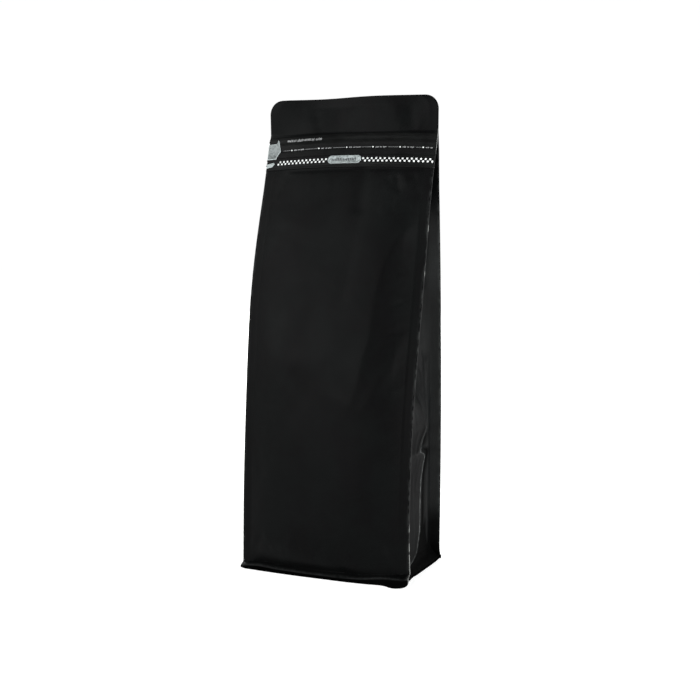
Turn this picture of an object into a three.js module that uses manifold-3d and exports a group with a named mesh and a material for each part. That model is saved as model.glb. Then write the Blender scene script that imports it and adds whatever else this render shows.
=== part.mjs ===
// Flat-bottom pouch of black film, shut and full, standing on its base: front and back panels, two
// pleated side panels, a seal fin down each corner, a flat closed top band and a flared bottom seal.
// A plastic tear tape crosses the front under the top band, with a silver pull tab at its left end,
// a silver end mark under the tab and a silver plate with round ends in its middle.
// Millimetres, +Z up. The front faces -Y and the origin is the middle of the base.
import * as THREE from 'three';
import { mergeVertices } from 'three/addons/utils/BufferGeometryUtils.js';
import Module from 'manifold-3d';

const wasm = await Module();
wasm.setup();

// The pouch as a whole
const WIDTH = 130; // across the side seals, laid flat
const HEIGHT = 341;
const BASE_FRONT = -36; // where the front seal fins stand at the base
const BASE_BACK = 36.5;
const BASE_PULL = { depth: 2, reach: 30 }; // the back fins stand this far in at the floor
const CORNER_RADIUS = 8.5; // of the top corners

// The closed band at the top, where all layers lie together
const BAND_FOOT = 316;
const BAND_Y = 19.5; // it stands behind the middle of the base
const BAND_THICKNESS = 0.9;
const BAND_TURN = 1.6; // its right end stands this far back, its left end forward
const BAND_TURN_FOOT = 270; // height where that turn starts
const BAND_WAVE = { depth: 3, length: 80, middle: -2, foot: 305 }; // seen from above

// Seal fins at the upright corners, and the bottom seal
const SEAL_WIDTH = 6.5;
const SEAL_THICKNESS = 0.7;
const SEAL_AT_FLOOR = 0.8; // width left of a fin where it meets the floor
const SEAL_RUNOUT = 9; // height over which the fin grows from that
const FIN_LEAN = 0.15; // how far back a fin's edge lies, for each millimetre of its width
const CREASE_HEIGHT = 4.5; // top of the bottom seal
const SKIRT = { middle: 3.7, corner: 5.2, narrowing: 0.8 }; // how far the bottom seal flares
const SKIRT_DENT = { depth: 2.4, at: 45, reach: 7 };
const TUCK = { depth: 3.2, reach: 10 }; // a side's foot is drawn in beside one corner

// The swell of the panels
const FRONT_BULGE = 10.5;
const BACK_BULGE = 9;
const CREASE_BULGE = 3.2; // at the bottom crease
const SWELL = 9; // height over which the bulge grows above that crease
const CROWN = 2.4; // how square the bulge is across the panel
const BULGE_TOP = 335; // it has gone here
const SKEW = { depth: 5.5, height: 208, reach: 72 }; // the front's right edge stands back, its left forward

// The side pleats. Below its pinch a pleat has popped out to a ridge, above it is folded in.
const PLEAT_LENGTH = 36; // half of a side panel's film
const PLEAT_SHIFT = 0.1; // the pleat's line lies behind the middle, as a share of the half depth
const PINCH = { left: 122, right: 98, reach: 14 };
const RIDGE = { height: 3.4, roundness: 1.6, foot: 28 }; // it ends in a triangle over the base
const FOLD = { first: 9, full: 215 }; // its depth just above the pinch, and where it is folded in fully
const WAIST = { depth: 2.2, reach: 4 }; // crease over the side's bottom seal
const DIMPLE = { depth: 2.4, below: 5, reach: 7, at: 0.36, width: 0.16 }; // behind the ridge's upper end

// Soft dents of the panels: a line from one point to another, [x, z], with a depth and a half width
const FRONT_DENTS = [
  { from: [54, 250], to: [37, 200], depth: 2.4, reach: 9 }, // shoulder by the right seal
  { from: [37, 200], to: [33, 152], depth: 2.2, reach: 9 },
  { from: [42, 149], to: [15, 116], depth: -1.1, reach: 5 }, // raised pleat
  { from: [31, 108], to: [35, 62], depth: 1.7, reach: 12 },
  { from: [11, 286], to: [4, 234], depth: 1.0, reach: 5.5 }, // groove under the plate
  { from: [40, 280], to: [46, 268], depth: 0.9, reach: 4 },
  { from: [15, 4], to: [14, 20], depth: 1.2, reach: 5 }, // pinch over the bottom seal
];
const BACK_DENTS = [
  { from: [-46, 240], to: [-30, 176], depth: 2.0, reach: 10 },
  { from: [34, 130], to: [44, 78], depth: 1.6, reach: 11 },
  { from: [-8, 290], to: [-3, 244], depth: 1.0, reach: 7 },
];

// The tear tape and its marks. Their heights are those at the tape's ends.
const GAP = 0.3; // between pieces that touch
const TAPE = { bottom: 289, top: 313.6, end: 64.4, thickness: 0.5 };
const TAPE_RISE = 1.5; // all its lines rise by this to the middle, over the bulge
const RAIL = { bottom: 291.6, top: 297.4, relief: 0.25, edge: 0.5 }; // flat rail over the closure
const TEAR_LINE = { height: 303.1, depth: 0.3, halfWidth: 0.7 };
const RIBS = { heights: [307.2, 311.4], relief: 0.45, halfWidth: 1.6 };
const MARK_THICKNESS = 0.6;
const PLATE = { length: 25.4, height: 6.2, centre: 294.5, thickness: 0.9 };
const TAB = { neck: -57.2, tip: -53.4, bottom: 297.2, top: 308.6, spike: 311.4, tipHeight: 303.2 };
const END_MARK = { right: -57.4, bottom: 290.9, height: 3.6, slope: 1.3, bevel: 1.4 };

// Facets
const FRONT_COLUMNS = 24; // across the front panel between its fins
const BACK_COLUMNS = 16;
const PLEAT_COLUMNS = 14;
const TAPE_COLUMNS = 26;
const MARK_COLUMNS = 12;
const CORNER_ROWS = 6;

const clamp = (v, low, high) => Math.min(high, Math.max(low, v));
const mix = THREE.MathUtils.lerp;
const smooth = (low, high, v) => THREE.MathUtils.smoothstep(v, low, high);
const bump = (v, middle, reach) => Math.exp(-(((v - middle) / reach) ** 2));

// Heights from one level up to the next, at most a step apart
function levels(from, to, step) {
  const count = Math.ceil((to - from) / step);
  return Array.from({ length: count }, (_, i) => mix(from, to, i / count));
}

// Depth of all dents at one point of a panel
function dented(dents, x, z) {
  let depth = 0;
  for (const d of dents) {
    const [ax, az] = d.from;
    const [bx, bz] = d.to;
    const run = (bx - ax) ** 2 + (bz - az) ** 2;
    const along = clamp(((x - ax) * (bx - ax) + (z - az) * (bz - az)) / run, 0, 1);
    const away = Math.hypot(x - mix(ax, bx, along), z - mix(az, bz, along));
    depth += d.depth * bump(away, 0, d.reach);
  }
  return depth;
}

// Bulge of a panel's middle at a height: quick to swell over the bottom crease, gone at the band
function bulge(full, z) {
  const swell = mix(CREASE_BULGE, full, 1 - Math.exp(-Math.max(0, z - CREASE_HEIGHT) / SWELL));
  return swell * Math.max(0, 1 - (z / BULGE_TOP) ** 8);
}

// 1 on the floor, 0 from the bottom crease up
const flare = (z) => Math.max(0, 1 - z / CREASE_HEIGHT);

const sealWidth = (z) => mix(SEAL_AT_FLOOR, SEAL_WIDTH, smooth(0, SEAL_RUNOUT, z));

// Half width at the seal edges: a bulging panel draws its edges in, and the top corners are round
function halfWidth(z) {
  const drawnIn = bulge(FRONT_BULGE, z) ** 2 / (WIDTH - 2 * SEAL_WIDTH);
  const corner = Math.max(0, z - (HEIGHT - CORNER_RADIUS));
  const rounded = CORNER_RADIUS - Math.sqrt(CORNER_RADIUS ** 2 - corner ** 2);
  return WIDTH / 2 - drawnIn - rounded - SKIRT.narrowing * flare(z);
}

// Depth position of the seal edges, side -1 left and +1 right
const bandTurn = (z) => BAND_TURN * smooth(BAND_TURN_FOOT, BAND_FOOT, z);
function frontEdge(side, z) {
  const top = BAND_Y - BAND_THICKNESS / 2;
  const lean = mix(BASE_FRONT, top, Math.min(1, z / BAND_FOOT) ** 2);
  return lean + side * (SKEW.depth * bump(z, SKEW.height, SKEW.reach) + bandTurn(z));
}
function backEdge(side, z) {
  const top = BAND_Y + BAND_THICKNESS / 2;
  const lean = mix(BASE_BACK, top, Math.min(1, z / BAND_FOOT) ** 3);
  return lean - BASE_PULL.depth * Math.exp(-z / BASE_PULL.reach) + side * bandTurn(z);
}

function bandWave(x, z) {
  const turn = (2 * Math.PI * (x - BAND_WAVE.middle)) / BAND_WAVE.length;
  return -BAND_WAVE.depth * Math.sin(turn) * smooth(BAND_WAVE.foot, HEIGHT, z);
}

// How far the bottom seal flares out. way is -1 on the front and +1 on the back.
function skirt(way, x, half) {
  const dent = SKIRT_DENT.depth * bump(-way * x, SKIRT_DENT.at, SKIRT_DENT.reach);
  return mix(SKIRT.middle, SKIRT.corner, Math.abs(x / half) ** 6) - dent;
}

// Depth position of one panel's face, its fins included
function panel(way, edge, full, dents, x, z) {
  const half = halfWidth(z);
  const inner = half - sealWidth(z);
  const flat = mix(edge(-1, z), edge(1, z), (x / half + 1) / 2) + bandWave(x, z);
  const inFin = Math.max(0, half - Math.max(Math.abs(x), inner));
  const crown = 1 - clamp(Math.abs(x) / inner, 0, 1) ** CROWN;
  const dent = dented(dents, x, z) * Math.min(1, 3 * crown);
  return flat + way * (FIN_LEAN * inFin + bulge(full, z) * crown + skirt(way, x, half) * flare(z) - dent);
}
const frontY = (x, z) => panel(-1, frontEdge, FRONT_BULGE, FRONT_DENTS, x, z);
const backY = (x, z) => panel(1, backEdge, BACK_BULGE, BACK_DENTS, x, z);

// How far a side panel stands out of the line between its fins. w runs from -1 at the front fin
// through 0 on the pleat to 1 at the back fin, and gap is the distance between the fins.
function pleatOut(side, gap, w, z) {
  const pinch = side > 0 ? PINCH.right : PINCH.left;
  const tent = 1 - Math.abs(w);
  const popped = 1 - smooth(pinch - PINCH.reach, pinch + PINCH.reach, z);
  const overBase = clamp((z - CREASE_HEIGHT) / (RIDGE.foot * tent + 2), 0, 1);
  const ridge = RIDGE.height * popped * (1 - Math.abs(w) ** RIDGE.roundness) * overBase;
  const tight = Math.sqrt(Math.max(0, PLEAT_LENGTH ** 2 - (gap / 2) ** 2));
  const first = Math.min(FOLD.first, tight) * (1 - popped);
  const fold = tent * mix(first, tight, smooth(pinch + PINCH.reach, FOLD.full, z));
  const waist = WAIST.depth * bump(z, CREASE_HEIGHT, WAIST.reach) * (1 - w * w);
  const dimple = DIMPLE.depth * bump(z, pinch - DIMPLE.below, DIMPLE.reach) * bump(w, DIMPLE.at, DIMPLE.width);
  const tuck = TUCK.depth * ((1 - side * w) / 2) ** 1.2 * Math.exp(-z / TUCK.reach);
  return ridge - fold - waist - dimple - tuck;
}

// Points of one side, from its front fin to its back fin
function sideOutline(side, z) {
  const half = halfWidth(z);
  const inner = half - sealWidth(z);
  const front = frontY(side * half, z);
  const back = backY(side * half, z);
  const thick = Math.min(SEAL_THICKNESS, (back - front) / 4);
  const start = frontY(side * inner, z) + thick;
  const end = backY(side * inner, z) - thick;
  const points = [[side * half, front], [side * half, front + thick]];
  for (let i = 0; i <= PLEAT_COLUMNS; i++) {
    const w = (2 * i) / PLEAT_COLUMNS - 1;
    const shifted = PLEAT_SHIFT + w * (1 - PLEAT_SHIFT * Math.sign(w));
    const out = pleatOut(side, back - front, w, z);
    points.push([side * (inner + out), mix(start, end, (shifted + 1) / 2)]);
  }
  points.push([side * half, back - thick], [side * half, back]);
  return points;
}

// At the top band a side is a plain edge
function bandSide(side, z) {
  const half = halfWidth(z);
  return [[side * half, frontY(side * half, z)], [side * half, backY(side * half, z)]];
}

function panelOutline(surface, columns, z) {
  const inner = halfWidth(z) - sealWidth(z);
  const points = [];
  for (let i = 0; i <= columns; i++) {
    const x = inner * ((2 * i) / columns - 1);
    points.push([x, surface(x, z)]);
  }
  return points;
}

// Ring of the pouch at one height: front panel, right side, back panel, left side
function ring(sides, z) {
  const outline = [
    ...panelOutline(frontY, FRONT_COLUMNS, z),
    ...sides(1, z),
    ...panelOutline(backY, BACK_COLUMNS, z).reverse(),
    ...sides(-1, z).reverse(),
  ];
  return outline.map(([x, y]) => [x, y, z]);
}

// Between three.js geometry and manifold-3d solids
function solidOf(geometry) {
  for (const name of ['normal', 'uv']) geometry.deleteAttribute(name);
  const merged = mergeVertices(geometry, 1e-4);
  return new wasm.Manifold(new wasm.Mesh({
    numProp: 3,
    vertProperties: merged.attributes.position.array,
    triVerts: new Uint32Array(merged.index.array),
  }));
}
function geometryOf(solid) {
  const mesh = solid.getMesh();
  const geometry = new THREE.BufferGeometry();
  geometry.setAttribute('position', new THREE.BufferAttribute(mesh.vertProperties, 3));
  geometry.setIndex(new THREE.BufferAttribute(mesh.triVerts, 1));
  return geometry;
}

// Solid through rings with the same count of points. Each ring is flat, and toPlane gives a point's
// place in its plane, where the ring runs counterclockwise seen from the last ring's side.
function loft(rings, toPlane) {
  const count = rings[0].length;
  const faces = [];
  for (let r = 0; r + 1 < rings.length; r++) {
    for (let i = 0; i < count; i++) {
      const a = r * count + i;
      const b = r * count + ((i + 1) % count);
      faces.push(a, b, b + count, a, b + count, a + count);
    }
  }
  const last = (rings.length - 1) * count;
  const cap = (points) => THREE.ShapeUtils.triangulateShape(points.map((p) => new THREE.Vector2(...toPlane(p))), []);
  for (const [a, b, c] of cap(rings[0])) faces.push(a, c, b);
  for (const [a, b, c] of cap(rings.at(-1))) faces.push(last + a, last + b, last + c);
  const geometry = new THREE.BufferGeometry();
  geometry.setAttribute('position', new THREE.Float32BufferAttribute(rings.flat(2), 3));
  geometry.setIndex(faces);
  return solidOf(geometry);
}

function makePouch() {
  const bodyLevels = [
    ...levels(0, SEAL_RUNOUT, CREASE_HEIGHT / 2),
    ...levels(SEAL_RUNOUT, 36, 5),
    ...levels(36, 76, 8),
    ...levels(76, 136, 5),
    ...levels(136, 280, 8),
    ...levels(280, BAND_FOOT, 6),
    BAND_FOOT,
  ];
  const cornerFoot = HEIGHT - CORNER_RADIUS;
  const bandLevels = levels(BAND_FOOT, cornerFoot, 5);
  for (let i = 0; i <= CORNER_ROWS; i++) {
    bandLevels.push(cornerFoot + CORNER_RADIUS * Math.sin((i / CORNER_ROWS) * Math.PI * 0.48));
  }
  const fromAbove = ([x, y]) => [x, y];
  const body = loft(bodyLevels.map((z) => ring(sideOutline, z)), fromAbove);
  const band = loft(bandLevels.map((z) => ring(bandSide, z)), fromAbove);
  return body.add(band);
}

// The tape follows the film's own lines, which rise over the bulge
const rise = (x) => TAPE_RISE * (1 - (x / TAPE.end) ** 2);

// Thickness of the tape at a height of its end
function tapeCover(v) {
  const overFoot = smooth(RAIL.bottom - RAIL.edge, RAIL.bottom, v);
  const rail = RAIL.relief * overFoot * (1 - smooth(RAIL.top, RAIL.top + RAIL.edge, v));
  const tear = TEAR_LINE.depth * bump(v, TEAR_LINE.height, TEAR_LINE.halfWidth);
  const ribs = RIBS.heights.reduce((sum, height) => sum + RIBS.relief * bump(v, height, RIBS.halfWidth), 0);
  return TAPE.thickness + rail - tear + ribs;
}

// Solid layer on the front panel, from GAP off the film to GAP + cover
function frontLayer(left, right, columns, heights, cover) {
  const rings = [];
  for (let i = 0; i <= columns; i++) {
    const x = mix(left, right, i / columns);
    const at = (v, off) => [x, frontY(x, v + rise(x)) - off, v + rise(x)];
    const back = heights.map((v) => at(v, GAP));
    const face = heights.map((v) => at(v, GAP + cover(v)));
    rings.push([...back, ...face.reverse()]);
  }
  return loft(rings, ([, y, z]) => [y, z]);
}

// Outlines of the marks in x and z, each grown by a margin
function tabOutline(grow) {
  const lift = rise(TAB.neck);
  const end = -TAPE.end - 4 - grow;
  return [
    [end, TAB.bottom + lift - grow],
    [TAB.neck + grow, TAB.bottom + lift - grow],
    [TAB.tip + 1.3 * grow, TAB.tipHeight + lift],
    [TAB.neck + 1.6 + grow, TAB.spike + lift - 1.5 + grow],
    [TAB.neck + 0.6, TAB.spike + lift + 1.5 * grow],
    [TAB.neck - 0.4 - grow, TAB.top + lift + grow],
    [end, TAB.top + lift + grow],
  ];
}
function endMarkOutline(grow) {
  const lift = rise(END_MARK.right);
  const end = -TAPE.end - 4 - grow;
  const low = END_MARK.bottom + lift - grow;
  const high = END_MARK.bottom + END_MARK.height + lift + grow;
  return [
    [end, low - 0.4],
    [END_MARK.right - END_MARK.bevel + 0.4 * grow, low + END_MARK.slope],
    [END_MARK.right + 1.3 * grow, (low + high) / 2 + END_MARK.slope],
    [END_MARK.right - END_MARK.bevel + 0.4 * grow, high + 0.6 * END_MARK.slope],
    [end, high - 0.4],
  ];
}
function plateOutline(grow) {
  const radius = PLATE.height / 2 + grow;
  const reach = (PLATE.length - PLATE.height) / 2;
  const points = [];
  for (const side of [1, -1]) {
    for (let i = 0; i <= 8; i++) {
      const angle = Math.PI * (i / 8 - side / 2);
      const z = PLATE.centre + TAPE_RISE + radius * Math.sin(angle);
      points.push([side * reach + radius * Math.cos(angle), z]);
    }
  }
  return points;
}

// Prism of an outline, right through the pouch from front to back
function prism(outline) {
  const shape = new THREE.Shape(outline.map(([x, z]) => new THREE.Vector2(x, z)));
  const geometry = new THREE.ExtrudeGeometry(shape, { depth: WIDTH, bevelEnabled: false, steps: 1 });
  geometry.rotateX(Math.PI / 2).translate(0, WIDTH / 2, 0);
  return solidOf(geometry);
}

function makeTape() {
  const [first, second] = RIBS.heights;
  const heights = [
    TAPE.bottom, RAIL.bottom - RAIL.edge, RAIL.bottom, RAIL.top, RAIL.top + RAIL.edge, 300.4,
    TEAR_LINE.height - 2 * TEAR_LINE.halfWidth, TEAR_LINE.height, TEAR_LINE.height + 2 * TEAR_LINE.halfWidth,
    first, (first + second) / 2, second, TAPE.top,
  ];
  let tape = frontLayer(-TAPE.end, TAPE.end, TAPE_COLUMNS, heights, tapeCover);
  for (const outline of [tabOutline, endMarkOutline, plateOutline]) {
    tape = tape.subtract(prism(outline(GAP)));
  }
  return tape;
}

function makeMark(outline, left, right, thickness) {
  const heights = [...levels(TAPE.bottom, TAPE.top, 4), TAPE.top];
  return frontLayer(left, right, MARK_COLUMNS, heights, () => thickness).intersect(prism(outline(0)));
}

const film = { color: 0x141414, roughness: 0.5, metalness: 0 };
const tapePlastic = { color: 0x15151a, roughness: 0.35, metalness: 0 };
const silver = { color: 0xb4bcbc, roughness: 0.4, metalness: 0.3 };

function meshOf(name, solid, look) {
  const geometry = geometryOf(solid).toNonIndexed();
  geometry.computeVertexNormals();
  const mesh = new THREE.Mesh(geometry, new THREE.MeshStandardMaterial(look));
  mesh.name = name;
  return mesh;
}

const plateEnd = PLATE.length / 2 + 1;
const pouch = new THREE.Group();
pouch.add(
  meshOf('film_body', makePouch(), film),
  meshOf('tear_tape', makeTape(), tapePlastic),
  meshOf('pull_tab', makeMark(tabOutline, -TAPE.end, TAB.tip + 1, MARK_THICKNESS), silver),
  meshOf('end_mark', makeMark(endMarkOutline, -TAPE.end, END_MARK.right + 1, MARK_THICKNESS), silver),
  meshOf('pill_plate', makeMark(plateOutline, -plateEnd, plateEnd, PLATE.thickness), silver),
);

export default pouch;
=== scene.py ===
import math
import random

import bpy
import numpy as np
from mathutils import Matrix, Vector


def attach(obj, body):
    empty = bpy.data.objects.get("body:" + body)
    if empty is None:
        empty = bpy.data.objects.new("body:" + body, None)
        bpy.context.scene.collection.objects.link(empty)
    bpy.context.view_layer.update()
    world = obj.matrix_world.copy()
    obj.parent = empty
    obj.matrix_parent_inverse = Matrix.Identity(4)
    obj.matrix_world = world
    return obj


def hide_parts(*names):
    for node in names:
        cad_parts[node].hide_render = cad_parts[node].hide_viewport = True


# Black flat-bottom pouch, worked out in millimetres: x to the right, y to the back and z up from the middle
# of the base. meshPiece turns them into metres.

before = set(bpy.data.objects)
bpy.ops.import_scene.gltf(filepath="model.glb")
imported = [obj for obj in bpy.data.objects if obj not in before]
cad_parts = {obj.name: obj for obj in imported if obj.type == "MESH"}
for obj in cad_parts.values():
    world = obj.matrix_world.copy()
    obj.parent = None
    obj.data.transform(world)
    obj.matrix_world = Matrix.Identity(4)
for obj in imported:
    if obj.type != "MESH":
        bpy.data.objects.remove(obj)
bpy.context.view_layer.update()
print("frame loaded")


# Small helpers for shapes, on numpy arrays

def mix(a, b, t):
    return a + (b - a) * t


def smooth(low, high, v):
    t = np.clip((v - low) / (high - low), 0, 1)
    return t * t * (3 - 2 * t)


def bump(v, middle, reach):
    return np.exp(-(((v - middle) / reach) ** 2))


# Value at v from a table of places and values
def listed(v, table):
    return np.interp(v, *zip(*table))


# Depth of all creases at points of a surface. Each runs through two or more points, with a reach to its
# left and right, or above and below where it lies level. A negative depth stands out. One with a radius is
# a shoulder, with slopes that run out slowly.
def creased(folds, x, z):
    total = np.zeros(np.broadcast(x, z).shape)
    for points, depth, (left, right), end, radius in folds:
        form = 0
        for (ax, az), (bx, bz) in zip(points, points[1:]):
            length = math.hypot(bx - ax, bz - az)
            dx, dz = (bx - ax) / length, (bz - az) / length
            along = (x - ax) * dx + (z - az) * dz
            away = (x - ax) * dz - (z - az) * dx
            if (dz if abs(dz) >= abs(dx) else dx) < 0:
                away = -away
            past = np.maximum(0, np.maximum(-along, along - length))
            side = np.where(away < 0, left, right)
            across = (np.hypot(away, radius) - radius) / side if radius else (away / side) ** 2
            form = np.maximum(form, np.exp(-across - (past / end) ** 2))
        total += depth * form
    return total


def crease(start, finish, depth, left, right=None, end=None):
    right = right or left
    return (start, finish), depth, (left, right), end or max(left, right), 0


def shoulder(points, height, left, right, end, radius):
    return points, -height, (left, right), end, radius


# Short creases scattered over a rectangle of a surface
def scattered(seed, count, across, up, angle, length, depth, reach):
    draw = random.Random(seed)
    found = []
    for _ in range(count):
        x = draw.uniform(*across)
        z = draw.uniform(*up)
        turn = math.radians(draw.uniform(*angle))
        run = draw.uniform(*length) / 2
        deep = draw.uniform(*depth) * draw.choice((-1, 1))
        width = draw.uniform(*reach)
        dx, dz = run * math.sin(turn), run * math.cos(turn)
        other = width * draw.uniform(0.7, 1.6)
        found.append(crease((x - dx, z - dz), (x + dx, z + dz), deep, width, other))
    return found


# The pouch

pouch = {
    "width": 130,
    "height": 341,
    "cornerRadius": 10.3,
    "bandFoot": 316,
    "bandY": 19.5,
    "bandThickness": 0.9,
    "bandTurn": (1.6, 270),  # twist of the band, and where it starts
    "bandDraw": 1.1,
    "bandTilt": (0.011, 0.006),  # to the left and to the right
    "wave": (3, 80, -2, 305),  # depth, length, middle and foot of the band's wave
    "sealWidth": 6.5,
    "sealThickness": 0.7,
    "sealAtFloor": 0.8,
    "sealRunout": 9,
    "finLean": 0.15,
    "creaseHeight": 4.5,
    "creaseBulge": 3.2,
    "swell": 13,
    "crown": 2.4,
    "bulgeTop": 335,
    "skew": (208, 72),  # height and reach of the front's skew
    "pullReach": 30,
    # how far the bottom seal stands out, and how high its bead is, from left to right
    "skirt": ((-65, 2.9), (-61, 4.9), (-48, 4.4), (-29, 4.0), (0, 3.4), (18, 3.4), (32, 2.9), (44, 1.8),
              (50, 3.1), (56, 5.7), (60.5, 6.7), (63.5, 6.4), (65, 4.2)),
    "bead": ((-65, 1.8), (-59, 3.4), (-50, 4.2), (-35, 3.6), (-15, 3.3), (15, 3.2), (30, 3.7), (46, 5.3),
             (58, 7.0), (65, 7.4)),
    "beadUndercut": 0.1,
    "beadRise": 1.7,
    "footRound": 5.6,
    "footLeft": 1.3,
    "footRight": ((-40, -0.2), (-31, -1.1), (-20, -1.8), (-13, -2), (-9, -1.2), (7, 0), (19, 0.9),
                  (30, 1.4), (36, 1.2)),
    "footTurn": (-0.1, 0.032, 26),  # shift in x, its change with depth, and its reach upwards
}


def bulge(full, z):
    risen = 1 - np.exp(-np.maximum(0, z - pouch["creaseHeight"]) / pouch["swell"])
    return mix(pouch["creaseBulge"], full, risen) * np.maximum(0, 1 - (z / pouch["bulgeTop"]) ** 8)


def sealWidth(z):
    return mix(pouch["sealAtFloor"], pouch["sealWidth"], smooth(0, pouch["sealRunout"], z))


def halfWidth(z):
    pulled = bulge(panels[-1]["bulge"], z) ** 2 / (pouch["width"] - 2 * pouch["sealWidth"])
    radius = pouch["cornerRadius"]
    corner = np.clip(z - (pouch["height"] - radius), 0, radius)
    rounded = radius - np.sqrt(radius**2 - corner**2)
    return pouch["width"] / 2 - pulled - rounded - pouch["bandDraw"] * smooth(300, 338, z)


# Where a fin's edge lies in depth: way is -1 for the front and 1 for the back, side -1 for the left
def edgeY(way, side, z):
    own = panels[way]
    top = pouch["bandY"] + way * pouch["bandThickness"] / 2
    lean = mix(own["foot"], top, np.minimum(1, z / pouch["bandFoot"]) ** own["rise"])
    turn, turnFoot = pouch["bandTurn"]
    askew = own["skew"] * bump(z, *pouch["skew"]) + turn * smooth(turnFoot, pouch["bandFoot"], z)
    return lean - own["pull"] * np.exp(-z / pouch["pullReach"]) + side * askew


def bandWave(x, z):
    depth, length, middle, foot = pouch["wave"]
    return -depth * np.sin(2 * math.pi * (x - middle) / length) * smooth(foot, pouch["height"], z)


# Height of the bottom seal's outer bead
def beadHeight(way, x):
    return listed(-way * x, pouch["bead"])


# Reach of the bottom seal: most at its bead, a bit less under it, none over the crease
def skirt(way, x, z):
    bead = beadHeight(way, x)
    under = 1 - pouch["beadUndercut"] * smooth(bead, 0, z)
    over = np.clip((z - bead) / pouch["beadRise"], 0, 1)
    return listed(-way * x, pouch["skirt"]) * np.where(z < bead, under, 1 - over**2.2)


# Folds of the front panel, as the photo shows them
frontFolds = [
    # long shoulder from the right seal down, with its hollow side to the right
    shoulder(((57, 250), (47, 242), (41, 231), (37, 218), (34, 204), (32.4, 187), (31.4, 170), (28, 155),
              (25.5, 139), (22, 128)), 1.25, 12, 12, 9, 1.3),
    shoulder(((24, 112), (27, 95), (31, 66)), 0.55, 12, 14, 12, 3),
] + [crease(*row) for row in (
    ((55, 170), (31, 122), -0.5, 5.5, 5.5),  # raised pleat across it
    ((16.5, 288), (16, 262), 0.6, 6, 4.5, 5),  # groove under the plate
    ((16, 262), (11, 214), 0.5, 8, 5, 22),
    ((40, 282), (42, 274), 0.6, 2.4, 2),  # crumples under the tape's right end
    ((46, 284), (50, 274), -0.25, 2.2, 2),
    ((52, 283), (56, 270), 0.65, 2.4, 2),
    ((35, 281), (38, 276), 0.3, 2),
    ((57, 281), (58, 262), 0.35, 2.6, 2.2),
    ((-40, 288.3), (4, 289), 0.2, 0.9, 1.5, 4),  # fold line below the press closure
    ((22, 289), (56, 288.4), 0.2, 0.9, 1.5, 4),
    ((-46, 284), (-50, 273), 0.3, 2.6, 3.4),
    ((-54, 283), (-56, 270), -0.2, 2.2, 2.6),
    ((-30, 157), (20, 158), -0.7, 11, 13, 14),  # edge of the fill
    ((15, 4), (14, 20), 1.2, 5),  # pinch over the bottom seal
    ((-49, 5.5), (12, 5), 1.5, 7, 3, 6),  # hollow above the bottom crease
    ((22, 6), (50, 8), 1.5, 7, 3, 6),
    ((-56, 12), (-48, 24), 0.35, 3, 4),
    ((-52, 9), (-44, 26), -0.25, 2.6, 4.5),
    ((57, 12), (50, 30), 0.7, 3.4, 3),
    ((-59, 100), (-50, 74), 0.5, 3.5, 6),
    ((-60, 190), (-56, 130), 0.5, 3, 5),
    ((-27, 328), (-26, 321), 0.35, 3.4),  # dents in the closed top band
    ((44, 331), (45, 322), 0.4, 4.2),
    ((5, 333), (4, 325), -0.22, 5),
    ((34, 331), (33, 322), -0.22, 4.6),
)]
backFolds = [crease(*row) for row in (
    ((-46, 240), (-30, 176), 2, 10, 8),
    ((34, 130), (44, 78), 1.6, 11, 8),
    ((-8, 290), (-3, 244), 1, 7),
    ((30, 268), (48, 216), 1.1, 6, 10),
    ((-50, 120), (-34, 70), 0.9, 8, 6),
    ((-20, 160), (24, 163), 0.35, 3, 7, 10),
    ((-50, 5.5), (-4, 5), 1.5, 7, 3, 6),
    ((8, 5), (50, 5.5), 1.5, 7, 3, 6),
    ((52, 12), (42, 30), 0.7, 3, 4),
    ((-40, 334), (-38, 306), 0.5, 4),
    ((26, 330), (30, 300), 0.5, 5),
)]
# Short creases near the seals, and faint ones all over: count, x, z, angle, length, depth and reach
panelCreases = (
    (34, (46, 60), (14, 282), (55, 125), (5, 13), (0.05, 0.2), (0.9, 2)),
    (34, (-60, -46), (14, 282), (55, 125), (5, 13), (0.05, 0.2), (0.9, 2)),
    (22, (-50, 50), (20, 270), (-40, 40), (14, 40), (0.08, 0.24), (4, 9)),
    (16, (-50, 50), (262, 284), (-20, 20), (5, 12), (0.03, 0.1), (1.4, 2.8)),
    (14, (-54, 54), (318, 336), (-30, 30), (4, 12), (0.04, 0.14), (1.6, 4)),
    (20, (-56, 56), (10, 26), (-35, 35), (4, 11), (0.06, 0.25), (1.2, 2.6)),
)
sideCreases = (
    (20, (-34, 34), (14, 96), (-14, 14), (8, 26), (0.03, 0.1), (1.2, 2.6)),
    (40, (-34, 34), (120, 292), (-16, 16), (8, 30), (0.06, 0.24), (1, 2.8)),
    (14, (-34, 34), (96, 135), (10, 70), (5, 16), (0.06, 0.2), (1.4, 2.8)),
)


def addFaint(folds, seed, rows):
    for i, row in enumerate(rows):
        folds += scattered(seed + i, *row)


addFaint(frontFolds, 11, panelCreases)
addFaint(backFolds, 23, panelCreases)


# Front and back. rise is the power of the lean from foot to band, and lean is how far the fins lean back.
panels = {
    -1: {"foot": -36, "rise": 2, "skew": 5.5, "pull": 0, "bulge": 10.5, "lean": 0, "folds": frontFolds},
    1: {"foot": 36.5, "rise": 3, "skew": 0, "pull": 1.6, "bulge": 9, "lean": 0.9, "folds": backFolds},
}


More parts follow.
